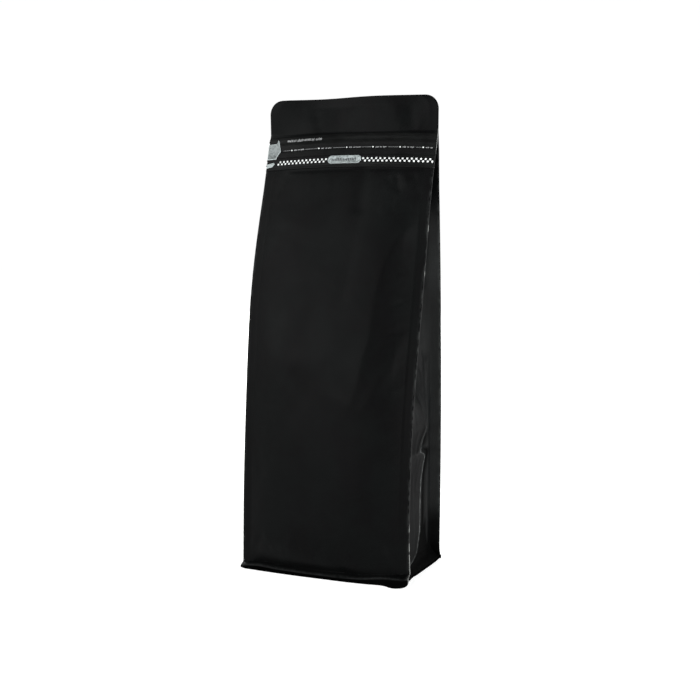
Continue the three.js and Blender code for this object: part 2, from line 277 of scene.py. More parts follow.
def panelY(way, x, z):
    own = panels[way]
    half = halfWidth(z)
    inner = half - sealWidth(z)
    flat = mix(edgeY(way, -1, z), edgeY(way, 1, z), (x / half + 1) / 2) + bandWave(x, z)
    inFin = np.maximum(0, half - np.maximum(np.abs(x), inner))
    across = np.clip(np.abs(x) / inner, 0, 1)
    crown = 1 - across ** pouch["crown"]
    inside = np.minimum(1, 3 * crown) * smooth(1.5, 4.5, z)
    inBand = smooth(314, 318, z) * smooth(0, 6, half - np.abs(x))
    dent = creased(own["folds"], x, z) * np.maximum(inside, inBand)
    out = pouch["finLean"] * inFin + bulge(own["bulge"], z) * crown + skirt(way, x, z) - dent
    lean = own["lean"] * smooth(4, 22, z) * (1 - smooth(236, 292, z))
    return flat + way * (out - lean * (inFin - sealWidth(z) * (1 - across**5)))


def frontY(x, z):
    return panelY(-1, x, z)


def backY(x, z):
    return panelY(1, x, z)


# Folds of the side panels, from the pleat's line: x is negative in front of it
rightFolds = [crease(*row) for row in (
    ((19, 101), (16, 89), 2, 5, 6),  # hollow behind the pinch
    ((29, 80), (28, 22), -0.25, 2.2, 3, 9),  # second, fainter ridge
    ((16, 82), (15, 24), 0.15, 3.4, 4, 6),  # groove between the two
    ((-30, 20), (-6, 8), 0.6, 2, 3),
    ((8, 14), (26, 6), 0.9, 2.6, 3.2),
    ((18, 205), (16, 150), 0.9, 2.2, 4),
    ((25, 268), (20, 214), -0.9, 1.8, 3),
    ((9, 222), (28, 206), 1.1, 2.4, 3.4),
    ((26, 190), (12, 168), -0.7, 2, 3),
    ((28, 150), (22, 116), 0.7, 2.2, 3.4),
    ((-22, 160), (-26, 110), 0.5, 2.6, 3.4),
)]
leftFolds = [crease(*row) for row in (
    ((19, 125), (16, 113), 2, 5, 6),
    ((29, 102), (28, 30), -0.25, 2.2, 3, 9),
    ((16, 104), (15, 30), 0.15, 3.4, 4, 6),
    ((8, 16), (27, 7), 0.8, 2.6, 3.2),
    ((20, 230), (17, 170), 0.9, 2.2, 4),
    ((26, 282), (20, 240), -0.8, 1.8, 3),
    ((-10, 210), (-28, 190), 0.9, 2.4, 3.4),
    ((-24, 170), (-20, 134), -0.7, 2.2, 3),
)]
addFaint(rightFolds, 41, sideCreases)
addFaint(leftFolds, 57, sideCreases)

# The side pleats. Each has popped out to a ridge below its pinch and is folded in above it. The path gives
# the ridge's place at several heights, from 0 at the front fin to 1 at the back one.
pleats = {
    1: {"pinch": 98, "ridge": 4.4, "folds": rightFolds, "path": (
        (0, 0.16), (8, 0.18), (11, 0.26), (14, 0.29), (19, 0.375), (25, 0.42), (31, 0.462), (42, 0.47),
        (57, 0.468), (68, 0.478), (78, 0.54), (84, 0.6), (86.5, 0.57), (89, 0.44), (94.5, 0.485),
        (98, 0.54), (101, 0.61), (104, 0.68), (112, 0.68), (150, 0.57), (341, 0.55),
    )},
    -1: {"pinch": 122, "ridge": 3.9, "folds": leftFolds, "path": (
        (0, 0.12), (9, 0.12), (16, 0.22), (24, 0.34), (38, 0.42), (64, 0.44), (90, 0.45), (108, 0.52),
        (112, 0.42), (118, 0.45), (123, 0.54), (127, 0.62), (136, 0.62), (170, 0.56), (341, 0.55),
    )},
}
pleatForm = {
    "length": 36,  # half of a side panel's film
    "reach": 14,
    "foot": 18,  # height over which the ridge rises from the base
    "first": 6,  # depth just above the pinch
    "full": 215,  # height where it is folded in fully
    "hollow": 1.1,
    "waist": 2.2,
    "tuck": 3.2,
}


# How far a side panel stands out of the line between its fins. w is -1 at the front fin, 0 on the ridge
# and 1 at the back fin.
def pleatOut(side, gap, w, z):
    own = pleats[side]
    pinch = own["pinch"]
    tent = 1 - np.abs(w)
    back = behindRidge(side, gap, w, z)
    popped = 1 - smooth(pinch + 2, pinch + 42, z)
    steep = 0.7 * np.exp(-((back / 2.6) ** 1.3)) + 0.3 * (1 - np.maximum(w, 0)) ** 1.2
    facet = np.clip(1 + np.minimum(w, 0), 0, 1) ** 1.12
    rise = smooth(3, pleatForm["foot"], z)
    ridge = own["ridge"] * popped * np.where(w < 0, facet, steep) * rise
    tight = np.sqrt(np.maximum(0, pleatForm["length"] ** 2 - (gap / 2) ** 2))
    first = np.minimum(pleatForm["first"], tight) * (1 - popped)
    folded = smooth(pinch - 4, pinch + 40, z)
    fold = tent ** mix(1, pleatForm["hollow"], folded)
    fold = fold * mix(first, tight, smooth(pinch + pleatForm["reach"], pleatForm["full"], z))
    waist = pleatForm["waist"] * bump(z, pouch["creaseHeight"], 4) * (1 - w * w)
    tuck = pleatForm["tuck"] * ((1 - side * w) / 2) ** 1.2 * np.exp(-z / 10)
    dents = creased(own["folds"], w * pleatForm["length"], z)
    room = smooth(0, 5, gap - 4) * np.minimum(1, 5 * tent) * smooth(3, 14, z)
    return ridge - fold - waist - tuck - dents * room


# Place between the fins, from 0 to 1
def shareAt(side, w, z):
    place = listed(z, pleats[side]["path"])
    return np.where(w < 0, place * (w + 1), place + (1 - place) * w)


# Columns of the film's outline: how many, and how they crowd towards the ridge
weave = {"panel": 104, "fin": 5, "pleat": 40, "crowding": 1.35}
pleatSteps = np.linspace(-1, 1, 2 * weave["pleat"] + 1)
pleatSteps = np.sign(pleatSteps) * np.abs(pleatSteps) ** weave["crowding"]
panelCount = weave["panel"] + 1
sideCount = 4 * weave["fin"] + len(pleatSteps) + 2
half = panelCount + sideCount
starts = {"front": 0, "right": panelCount, "back": half, "left": half + panelCount}


# Columns of one side from its front fin to its back fin, one row for each height
def sideColumns(side, z):
    half = halfWidth(z)
    inner = half - sealWidth(z)
    front, back = frontY(side * half, z), backY(side * half, z)
    thick = np.minimum(pouch["sealThickness"], (back - front) / 4)
    start = frontY(side * inner, z) + thick
    end = backY(side * inner, z) - thick
    steps = np.arange(1, weave["fin"] + 1) / weave["fin"]
    outX = side * (inner + (half - inner) * steps)
    backX = outX[:, ::-1]
    w = pleatSteps[None, :]
    pleatX = side * (inner + pleatOut(side, back - front, w, z))
    into = steps[None, :-1]
    outOf = into[:, ::-1]
    parts = [
        (outX, frontY(outX, z)),
        (side * (half + 0.12), front + thick / 2),
        (side * half, front + thick),
        (mix(side * half, pleatX[:, :1], into), mix(front + thick, start, into)),
        (pleatX, mix(start, end, shareAt(side, w, z))),
        (mix(side * half, pleatX[:, -1:], outOf), mix(back - thick, end, outOf)),
        (side * half, back - thick),
        (side * (half + 0.12), back - thick / 2),
        (backX, backY(backX, z)),
    ]
    return [np.concatenate(values, 1) for values in zip(*parts)]


def filmRings(z):
    z = z[:, None]
    inner = halfWidth(z) - sealWidth(z)
    x = inner * np.linspace(-1, 1, panelCount)[None, :]
    rightX, rightY = sideColumns(1, z)
    leftX, leftY = sideColumns(-1, z)
    allX = np.concatenate([x, rightX, x[:, ::-1], leftX[:, ::-1]], 1)
    allY = np.concatenate([frontY(x, z), rightY, backY(x, z)[:, ::-1], leftY[:, ::-1]], 1)
    return np.stack([allX, allY, np.broadcast_to(z, allX.shape)], 2)


def bodyHeights():
    spans = ((14, 84, 1.6), (84, 112, 1), (112, 282, 1.6), (282, 316, 0.8))
    z = np.concatenate([np.linspace(0, 14, 33)[:-1], *[np.arange(*span) for span in spans], [316]])
    return z[np.concatenate([[True], np.diff(z) > 0.05])]


def bandHeights():
    foot = pouch["height"] - pouch["cornerRadius"]
    turned = foot + pouch["cornerRadius"] * np.sin(np.linspace(0, 1, 13) * math.pi * 0.48)
    return np.concatenate([np.arange(317.2, foot - 0.5, 1.3), turned])


# The foot stands a little askew, the band is tilted a little, and the bottom seal's front right corner is
# rounded
def settled(points):
    points = np.array(points, float)
    x, y, z = points.T
    shift, turn, reach = pouch["footTurn"]
    radius = pouch["footRound"]
    below = np.clip(radius - z, 0, radius)
    corner = smooth(44, 62, x) * smooth(-26, -37, y) + 0.12 * (x > 0)
    rounded = (radius - np.sqrt(radius**2 - below**2)) * corner * np.sign(x)
    uneven = listed(y, pouch["footRight"]) * smooth(30, 56, x) * np.exp(-((z / 5.5) ** 2))
    left, right = pouch["bandTilt"]
    tilt = x * np.where(x < 0, left * smooth(284, 296, z), right * smooth(314, 336, z))
    flare = pouch["footLeft"] * smooth(-52, -64, x) * np.exp(-((z / 2.3) ** 2))
    points[:, 0] = x + (shift - turn * y) * np.exp(-z / reach) - rounded + uneven - flare
    points[:, 2] = z + tilt
    return points


def placed(name, data):
    made = bpy.data.objects.new(name, data)
    bpy.context.scene.collection.objects.link(made)
    return made


def meshPiece(name, points, faces, material, sharp, values=None):
    mesh = bpy.data.meshes.new(name)
    mesh.from_pydata((settled(points) / 1000).tolist(), [], [list(map(int, f)) for f in faces])
    mesh.shade_smooth()
    mesh.set_sharp_from_angle(angle=math.radians(sharp))
    for key, numbers in (values or {}).items():
        field = mesh.attributes.new(key, "FLOAT", "POINT")
        field.data.foreach_set("value", np.asarray(numbers, np.float32))
    mesh.materials.append(material)
    mesh.validate()
    piece = placed(name, mesh)
    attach(piece, "root")
    return piece


# Quads between rows of points. Closed rows run back to their first point.
def gridFaces(rows, closed=True, flip=False):
    rows = np.array(rows)
    if closed:
        rows = np.concatenate([rows, rows[:, :1]], 1)
    quads = np.stack([rows[:-1, :-1], rows[:-1, 1:], rows[1:, 1:], rows[1:, :-1]], -1).reshape(-1, 4)
    return (quads[:, ::-1] if flip else quads).tolist()


# Quads that close a narrow loop, from its ends to its middle
def loopFaces(loop):
    faces = []
    for i in range((len(loop) - 1) // 2):
        a, b, c, d = loop[i], loop[i + 1], loop[-2 - i], loop[-1 - i]
        faces.append((a, b, d) if b == c else (a, b, c, d))
    return faces


# Painted shade of the film: how much of the near-black matt shader stands in for shade at each place
shadeForm = {
    "hollows": ((-60, 0), (-53, 0.3), (-44, 0.7), (-20, 0.8), (8, 0.8), (18, 0.5), (23, 0.4), (32, 0.75),
                (48, 0.7), (58, 0.2)),
    "reach": 9,  # above the bead
    "rightFoot": 0.95,
    "fin": 0.18,
    "lower": (0.16, 0.05),  # on the left and on the right
    "foot": (0.9, 29, 46),  # on a side panel: how much painted shade, and from which height it fades out to which
    "line": 0.92,
    "pinch": 0.9,
    "streak": 0.9,  # place of a painted-light stripe, with less painted shade and a paler colour, between the front and the back fin
    "facet": 0.3,
}


def most(first, *others):
    for other in others:
        first = np.maximum(first, other)
    return first


# Painted shade on a panel: a painted contact shadow, black under the bead, painted shade in the hollows
# that fades out above it, and lighter painted shade on the left fin and the lower panel
def panelShade(way, x, z):
    bead = beadHeight(way, x)
    x = -way * x
    hollow = listed(x, shadeForm["hollows"])
    over = smooth(bead + 0.5, bead + 1.4, z) * (1 - smooth(bead + 1.5, bead + shadeForm["reach"], z))
    under = mix(1, shadeForm["rightFoot"], smooth(30, 42, x)) * smooth(bead - 0.3, bead - 0.9, z)
    # painted shade on the left fin and over the lower panel, where less light falls
    fin = shadeForm["fin"] * smooth(-55, -61, x) * smooth(250, 190, z)
    lower = smooth(165, 125, z) * mix(*shadeForm["lower"], smooth(-58, 20, x))
    return most(hollow * over, under, fin, lower)


# Millimetres behind the ridge
def behindRidge(side, gap, w, z):
    return np.maximum(w, 0) * (1 - listed(z, pleats[side]["path"])) * gap


# Painted light: a stripe near the back of a side panel's foot, with less painted shade and a paler colour,
# narrower further down
def litFootStreak(side, w, z):
    wide = mix(0.02, 0.05, smooth(14, 36, z))
    return bump(shareAt(side, w, z), shadeForm["streak"], wide) * smooth(12, 22, z)


# Painted shade on a side panel: at its foot behind the ridge, in a line close behind the ridge, in the
# pinch's hollow, low down and along its bottom edge, and a lighter share on the facet in front of the ridge
def sideShade(side, gap, w, z):
    own = pleats[side]
    back = behindRidge(side, gap, w, z)
    behind = smooth(0.4, 1.4, back)
    dull, full, top = shadeForm["foot"]
    foot = dull * (1 - smooth(full, top, z)) * (1 - litFootStreak(side, w, z))
    popped = 1 - smooth(own["pinch"] - 12, own["pinch"] - 6, z)
    facet = shadeForm["facet"] * (1 - smooth(own["pinch"] + 10, own["pinch"] + 34, z)) * (1 - behind)
    line = shadeForm["line"] * bump(back, 17, 6.5) * popped
    pinch = shadeForm["pinch"] * bump(z, own["pinch"] - 4, 7)
    pinch = pinch * smooth(4, 9, back) * (1 - smooth(19, 30, back))
    # painted shade low down on the side panel
    lowShade = dull * (1 - smooth(6, 11, z))
    return most(most(foot, line, pinch) * behind, lowShade, smooth(2.4, 1.2, z), facet)


baseForm = {
    "rings": ((0.8, 0.0), (1.7, 1.2), (3.4, 2.2)),  # inset and height, from the seal's edge inwards
    "sag": 1.3,
    "fold": 0.35,
}


# Soft patches of the front and the back painted paler as painted light: middle, reach and strength
litPatches = (
    (38, 274, 24, 16, 0.17),
    (55, 244, 9, 28, 0.16),
    (-20, 276, 26, 10, 0.08),
    (-38, 15, 27, 8, 0.18),
    (-8, 46, 26, 18, 0.08),
)


# The base panel inside the rim: spanned between its four sides, and sunken, with a fold line across it and
# one to each corner
def basePatch(rim, sides, size, middle):
    front, right, rear, left = [rim[side] for side in sides]
    across = np.linspace(0, 1, len(front))[:, None, None]
    deep = np.linspace(0, 1, len(right))[None, :, None]
    front, rear = front[:, None], rear[:, None]
    patch = mix(front, rear, deep) + mix(left[None], right[None], across)
    patch -= mix(mix(front[:1], front[-1:], across), mix(rear[:1], rear[-1:], across), deep)
    u, v = across[..., 0], deep[..., 0]
    inwards = np.minimum(1, 6 * np.minimum(np.minimum(u, 1 - u) * 1.5, np.minimum(v, 1 - v)))
    x, y = patch[..., 0], patch[..., 1]
    corner = size[0] - size[1]
    ridge = bump(y - middle, 0, 1.1)
    for way in (-1, 1):
        ridge = ridge + bump(np.abs(x) - corner, way * (y - middle), 1.3) * (np.abs(x) > corner)
    ripple = 0.16 * np.sin(x / 5.3 + 0.7 * np.sin(y / 7)) * np.sin(y / 6.1 + 0.4)
    sag = smooth(0, 1, inwards) * (baseForm["sag"] - baseForm["fold"] * np.clip(ridge, 0, 1) + ripple)
    patch[..., 2] = baseForm["rings"][-1][1] - sag
    return patch


# What the film's material reads at each point of the body: a pale line along the ridges and the bead,
# partly wear and partly a painted highlight, the cut edges of the fins, painted shade, and painted light
# that makes it paler
def filmValues(body):
    size = body.shape[:2]
    tall = body[:, :1, 2]
    wear, side, shade = np.zeros(size), np.zeros(size), np.ones(size)
    seam = smooth(1.6, 0.2, halfWidth(tall) - np.abs(body[..., 0])) * (tall > 0.2)
    fin = weave["fin"]
    inner = fin + 6
    w = np.concatenate([[-1.0] * inner, pleatSteps, [1.0] * inner])[None, :]
    for way, first in ((-1, starts["front"]), (1, starts["back"])):
        columns = slice(first, first + panelCount)
        x = body[:, columns, 0]
        shade[:, columns] = panelShade(way, x, tall)
        # a pale line along the bead: partly wear, partly a painted highlight
        wear[:, columns] += 0.05 * bump(tall, beadHeight(way, x) + 0.1, 0.7)
        # painted light: lit patches of the front and back painted paler
        for middleX, middleZ, reachX, reachZ, amount in litPatches:
            side[:, columns] += amount * bump(-way * x, middleX, reachX) * bump(tall, middleZ, reachZ)
    for hand, first in ((1, starts["right"]), (-1, starts["left"])):
        columns = slice(first, first + sideCount)
        own = body[:, columns]
        middle = sideCount // 2
        pinch = pleats[hand]["pinch"]
        # the ridge's pale line: partly wear, partly a painted highlight
        wearAndHighlight = smooth(6, 14, tall) * (0.5 + 0.5 * smooth(22, 32, tall))
        wearAndHighlight *= (1 - smooth(pinch - 2, pinch + 8, tall)) * (1 - 0.55 * smooth(pinch - 9, pinch - 5, tall))
        distance = np.linalg.norm(own - own[:, middle:middle + 1], axis=2)
        wear[:, columns] += np.where(np.abs(w) < 1, bump(distance, 0, 1.1), 0) * wearAndHighlight
        gap = np.abs(own[:, -inner, 1] - own[:, inner - 1, 1])[:, None]
        shade[:, columns] = sideShade(hand, gap, w * hand, tall)
        for way, edge in ((-hand, slice(None, fin)), (hand, slice(-fin, None))):
            shade[:, columns][:, edge] = panelShade(way, own[:, edge, 0], tall)
        # painted light: the side panel painted paler where it is lit, above the pinch with a painted
        # highlight around its middle height, towards the back and along the stripe
        sideLight = 0.5 - 0.2 * smooth(pinch + 5, pinch + 35, tall) + 0.5 * bump(tall, pinch + 121, 15)
        sideLight = sideLight - 0.2 * smooth(pinch + 136, pinch + 156, tall)
        rear = smooth(0, 0.2, w * hand) * smooth(30, 44, tall)
        rising = smooth(pinch + 16, pinch + 50, tall) * (w * hand > -1)
        side[:, columns] = sideLight * most(rising, rear, 1.4 * litFootStreak(hand, w * hand, tall))
    return np.clip(wear, 0, 1), np.clip(seam, 0, 1), shade, side


def buildFilm(material):
    body = filmRings(bodyHeights())
    height, count = body.shape[:2]
    right, back, left = starts["right"], starts["back"], starts["left"]
    fin = weave["fin"]
    # columns of a side that lie in the slit between the two layers of film, and end under the band
    slit = np.arange(fin + 2, sideCount - fin - 2)
    slits = (right + slit, left + slit)
    kept = np.setdiff1d(np.arange(count), np.concatenate(slits))
    band = filmRings(bandHeights())[:, kept]
    points = [body.reshape(-1, 3), band.reshape(-1, 3)]
    rows = np.arange(height * count).reshape(height, count)
    bandRows = rows.size + np.arange(len(band) * len(kept)).reshape(len(band), len(kept))
    faces = gridFaces(rows) + gridFaces([rows[-1][kept], *bandRows])
    for columns in slits:
        faces += loopFaces(rows[-1][columns[0] - 1:columns[-1] + 2])
    top = bandRows[-1]
    bandSide = len(kept) // 2 - panelCount
    bandLeft = 2 * panelCount + bandSide
    front, rear = top[:panelCount], top[panelCount + bandSide:bandLeft][::-1]
    faces += gridFaces([front, rear], False)
    faces += loopFaces([front[-1], *top[panelCount:panelCount + bandSide], rear[-1]])
    faces += loopFaces([rear[0], *top[bandLeft:], front[0]])
    # underside: the seal's edge, then the base panel
    ring = body[0]
    middle = 0.5 * (ring[:, 1].min() + ring[:, 1].max())
    size = (np.abs(ring[:, 0]).max(), np.abs(ring[:, 1] - middle).max())
    base = rows.size + bandRows.size
    below = rows[0]
    for inset, height in baseForm["rings"]:
        ring = body[0].copy()
        ring[:, 0] *= 1 - inset / size[0]
        ring[:, 1] = middle + (ring[:, 1] - middle) * (1 - inset / size[1])
        ring[:, 2] = height
        points.append(ring)
        faces += gridFaces([base + np.arange(count), below])
        below = base + np.arange(count)
        base += count
    corners = (right + fin, back - 1 - fin, left + fin, count - 1 - fin)
    sides = (
        np.arange(corners[3] - count, corners[0] + 1) % count,
        np.arange(corners[0], corners[1] + 1),
        np.arange(corners[1], corners[2] + 1)[::-1],
        np.arange(corners[2], corners[3] + 1)[::-1],
    )
    patch = basePatch(ring, sides, size, middle)
    grid = np.full(patch.shape[:2], -1)
    grid[:, 0], grid[:, -1], grid[0, :], grid[-1, :] = [below[sides[i]] for i in (0, 2, 3, 1)]
    free = grid < 0
    grid[free] = base + np.arange(free.sum())
    points.append(patch[free])
    faces += gridFaces(grid, False)
    # the band is plain film, and the underside gets full painted shade, like the foot under the bead
    points = np.concatenate(points)
    names = ("wear", "seam", "shade", "side")
    values = {name: np.zeros(len(points)) for name in names}
    values["shade"][rows.size + bandRows.size:] = 1
    for name, field in zip(names, filmValues(body)):
        values[name][:field.size] = field.ravel()
    print("film:", len(points), "points,", len(faces), "faces")
    return meshPiece("pouch_film", points, faces, material, 42, values)


# Materials. Wire wraps a socket, so that maths on it reads as maths, and Look builds one material.

class Wire:
    def __init__(self, look, socket):
        self.look = look
        self.socket = socket

    def __add__(self, other):
        return self.look.maths("ADD", self, other)

    def __sub__(self, other):
        return self.look.maths("SUBTRACT", self, other)

    def __rsub__(self, other):
        return self.look.maths("SUBTRACT", other, self)

    def __mul__(self, other):
        return self.look.maths("MULTIPLY", self, other)

    __radd__ = __add__
    __rmul__ = __mul__


class Look:
    def __init__(self, name, owner=None):
        self.owner = owner or bpy.data.materials.new(name)
        self.owner.use_nodes = True
        self.tree = self.owner.node_tree
        self.tree.nodes.clear()

    # a shader node of any type: its settings first, then the values or links of its sockets
    def node(self, kind, settings=None, sockets=None, out=0):
        made = self.tree.nodes.new("ShaderNode" + kind)
        for key, value in (settings or {}).items():
            setattr(made, key, value)
        for key, value in (sockets or {}).items():
            if isinstance(value, Wire):
                self.tree.links.new(value.socket, made.inputs[key])
            else:
                made.inputs[key].default_value = value
        return Wire(self, made.outputs[out]) if made.outputs else made

    def maths(self, operation, a, b=0.0):
        return self.node("Math", {"operation": operation}, {0: a, 1: b})

    def limited(self, value, low, high):
        return self.node("MapRange", {"interpolation_type": "SMOOTHSTEP"},
                         {"Value": value, "From Min": low, "From Max": high})

    def colour(self, factor, a, b):
        return self.node("Mix", {"data_type": "RGBA"}, {0: factor, 6: a, 7: b}, 2)

    def places(self, scale=(1, 1, 1)):
        at = self.node("TexCoord", out=3)
        return self.node("VectorMath", {"operation": "MULTIPLY"},
                         {0: at, 1: tuple(1000 * s for s in scale)})

    def noise(self, size, detail=3.0, scale=(1, 1, 1), roughness=0.55, distortion=0.0):
        return self.node("TexNoise", None, {
            "Vector": self.places(scale), "Scale": 1 / size, "Detail": detail,
            "Roughness": roughness, "Distortion": distortion})

    def value(self, name):
        return self.node("Attribute", {"attribute_name": name}, out=2)

    def bumped(self, height, strength, distance, under=None):
        sockets = {"Height": height, "Strength": strength, "Distance": distance / 1000}
        if under:
            sockets["Normal"] = under
        return self.node("Bump", None, sockets)

    def surface(self, colour, roughness, specular, more):
        sockets = {"Base Color": colour, "Roughness": roughness, "Specular IOR Level": specular}
        return self.node("BsdfPrincipled", None, {**sockets, **more})

    def finish(self, shader):
        self.node("OutputMaterial", None, {"Surface": shader})
        return self.owner


def grey(v):
    return (v, v, v, 1)


# The film's colours: the paler side colour is painted light for lit places, the pale line colour is partly
# wear and partly a painted highlight, the dull colour is painted shade and the foot colour a painted shadow
# under the bead
filmLook = {
    "black": (0.0013, 0.0013, 0.0014, 1),
    "faded": (0.0016, 0.0019, 0.0019, 1),
    "side": (0.0086, 0.0094, 0.0093, 1),
    "wearAndHighlight": (0.115, 0.122, 0.12, 1),
    "dull": (0.0024, 0.0025, 0.0025, 1),
    "foot": (0.0005, 0.0005, 0.0005, 1),
    "roughness": 0.32,
    "specular": 0.03,
}


def filmMaterial():
    look = Look("black film")
    cloud = look.noise(26, 3, (1, 1, 0.55))
    patches = look.noise(7, 4, roughness=0.6)
    tint = look.limited(cloud * 0.7 + patches * 0.3, 0.38, 0.62)
    base = look.colour(tint, filmLook["black"], filmLook["faded"])
    rub = look.limited(look.noise(2.2, 3, (1, 1, 0.4)), 0.42, 0.62)
    patched = 0.75 + look.limited(patches, 0.25, 0.75) * 0.25
    # painted light: the film painted paler where the side attribute marks it as lit
    base = look.colour(look.value("side") * patched, base, filmLook["side"])
    # pale line along the ridges and the bead, partly wear and partly a painted highlight, and the pale cut
    # edges of the seams
    wearAndHighlight = look.value("wear") * (0.35 + rub * 0.65) + look.value("seam") * rub * 0.2
    colour = look.colour(wearAndHighlight * 0.9, base, filmLook["wearAndHighlight"])
    smudge = look.limited(look.noise(34, 2, distortion=0.6), 0.4, 0.66)
    roughness = filmLook["roughness"] + smudge * 0.07 + patches * 0.08 + wearAndHighlight * 0.12
    grain = look.noise(0.32, 2)
    pucker = look.noise(2.6, 3, (1, 1, 0.6), 0.5)
    soft = look.bumped(pucker, 0.35, 0.05)
    fine = look.bumped(grain, 0.18, 0.03, soft)
    # painted shade: a near-black matt shader mixed in by the shade attribute, darkest as a painted shadow
    # under the bead, with noise breaking up its edge
    shade = look.value("shade")
    shadeNoise = look.noise(1.8, 3, (0.4, 0.4, 1))
    deep = look.limited(shade + (shadeNoise - 0.5) * 0.1, 0.8, 1)
    dull = look.colour(deep, filmLook["dull"], filmLook["foot"])
    satin = look.surface(colour, roughness, filmLook["specular"], {"Normal": fine})
    shadeShader = look.surface(dull, 0.8, 0.0, {"Normal": soft})
    return look.finish(look.node("MixShader", None, {0: shade, 1: satin, 2: shadeShader}))


tapeLook = {
    "black": (0.0025, 0.0026, 0.0026, 1),
    "scuffed": (0.0042, 0.0045, 0.0044, 1),
    "specular": 0.04,
}


def tapeMaterial():
    look = Look("black tape")
    streaks = look.noise(1.1, 3, (0.12, 1, 1))
    cloud = look.noise(14, 2)
    scuffed = look.limited(streaks * 0.5 + cloud * 0.5, 0.36, 0.62)
    base = look.colour(scuffed, tapeLook["black"], tapeLook["scuffed"])
    roughness = 0.31 + cloud * 0.12 + streaks * 0.06
    drawn = look.bumped(streaks, 0.3, 0.03)
    return look.finish(look.surface(base, roughness, tapeLook["specular"], {"Normal": drawn}))


silverLook = {
    "plate": ((0.09, 0.105, 0.105, 1), (0.24, 0.27, 0.27, 1)),
    "tab": ((0.05, 0.058, 0.058, 1), (0.135, 0.152, 0.152, 1)),
    "rim": (0.3, 0.335, 0.335, 1),
}


def silverMaterial(kind):
    look = Look("satin silver " + kind)
    dull, bright = silverLook[kind]
    mottle = look.noise(1.5, 4, roughness=0.65)
    cloud = look.noise(6, 2)
    base = look.colour(look.limited(mottle * 0.7 + cloud * 0.3, 0.36, 0.6), dull, bright)
    base = look.colour(look.value("rim") * 0.8, base, silverLook["rim"])
    brushed = look.noise(0.4, 2, (0.15, 1, 1))
    roughness = 0.38 + mottle * 0.14
    drawn = look.bumped(brushed, 0.25, 0.03)
    return look.finish(look.surface(base, roughness, 0.4, {"Metallic": 0.25, "Normal": drawn}))


def inkMaterial(name, thin, full):
    look = Look(name)
    cover = look.limited(look.noise(0.8, 3, roughness=0.6), 0.3, 0.5)
    base = look.colour(cover, thin, full)
    roughness = 0.42 + look.noise(2, 2) * 0.15
    grain = look.bumped(look.noise(0.3, 2), 0.2, 0.02)
    return look.finish(look.surface(base, roughness, 0.35, {"Normal": grain}))


# the cut edge's paleness is partly its own pale inner layer and partly painted glints of light
def edgeMaterial():
    look = Look("cut edge of the film")
    along = look.noise(5.2, 3, (0.2, 0.2, 1), 0.6)
    fray = look.noise(0.7, 3, roughness=0.65)
    shown = look.limited(look.value("bright") + (along - 0.5) * 1.5 + (fray - 0.5) * 0.6, 0.35, 0.75)
    base = look.colour(shown * shown, (0.0095, 0.01, 0.01, 1), (0.15, 0.155, 0.15, 1))
    roughness = 0.5 + fray * 0.2
    return look.finish(look.surface(base, roughness, 0.12, {"Normal": look.bumped(fray, 0.4, 0.08)}))


materials = {
    "film": filmMaterial(),
    "tape": tapeMaterial(),
    "plate": silverMaterial("plate"),
    "tab": silverMaterial("tab"),
    "ink": inkMaterial("white print", (0.28, 0.3, 0.3, 1), (0.54, 0.56, 0.55, 1)),
    "words": inkMaterial("light grey print", (0.05, 0.052, 0.054, 1), (0.16, 0.165, 0.165, 1)),
    "faint": inkMaterial("grey print", (0.03, 0.031, 0.032, 1), (0.1, 0.105, 0.105, 1)),
    "dark": inkMaterial("dark print", (0.004, 0.004, 0.005, 1), (0.012, 0.013, 0.014, 1)),
    "edge": edgeMaterial(),
}
print("materials made")

film = buildFilm(materials["film"])
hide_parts("film_body")
print("film built")


# Cut edges of the seal fins, thin ribbons over the fins' rims: name, side, way, how pale the edge is at
# several heights, partly its pale inner layer and partly painted glints of light, and how far it reaches
# over the fin
cutEdges = (
    ("right_front_cut_edge", 1, -1, (
        (0, 0.1), (3.2, 0.1), (4.4, 0.95), (22.6, 1), (23.8, 0.35), (25.4, 0.95), (30.4, 0.9), (32, 0.3),
        (35, 0.4), (38, 0.45), (39.5, 0.65), (43.5, 0.65), (45, 0.2), (60, 0.1), (150, 0.12), (205, 0.15),
        (215, 0.5), (226, 0.2), (242, 0.15), (245, 0.9), (248, 0.9), (251, 0.15), (286, 0.2), (298, 0.6),
        (302, 0.9), (315, 0.95), (320, 0.3), (334, 0),
    ), (
        (0, 0.05), (10, 0.12), (22, 0.1), (34, 0.05), (60, 0.05), (200, 0.05), (216, 0.2), (226, 0.05),
        (290, 0.05), (306, 0.08), (334, 0.05),
    )),
    ("left_front_cut_edge", -1, -1, ((0, 0.2), (40, 0.1), (300, 0.2), (334, 0)), ((0, 0.1), (334, 0.05))),
    ("right_back_cut_edge", 1, 1, ((0, 0.1), (334, 0)), ((0, 0.06), (334, 0.05))),
    ("left_back_cut_edge", -1, 1, (
        (0, 0.8), (40, 0.6), (160, 0.4), (260, 0.5), (334, 0.05),
    ), ((0, 0.4), (60, 0.15), (334, 0.1))),
)
edgeForm = {"foot": 0.4, "top": 332.4, "step": 0.9, "proud": 0.07, "wear": 0.35}


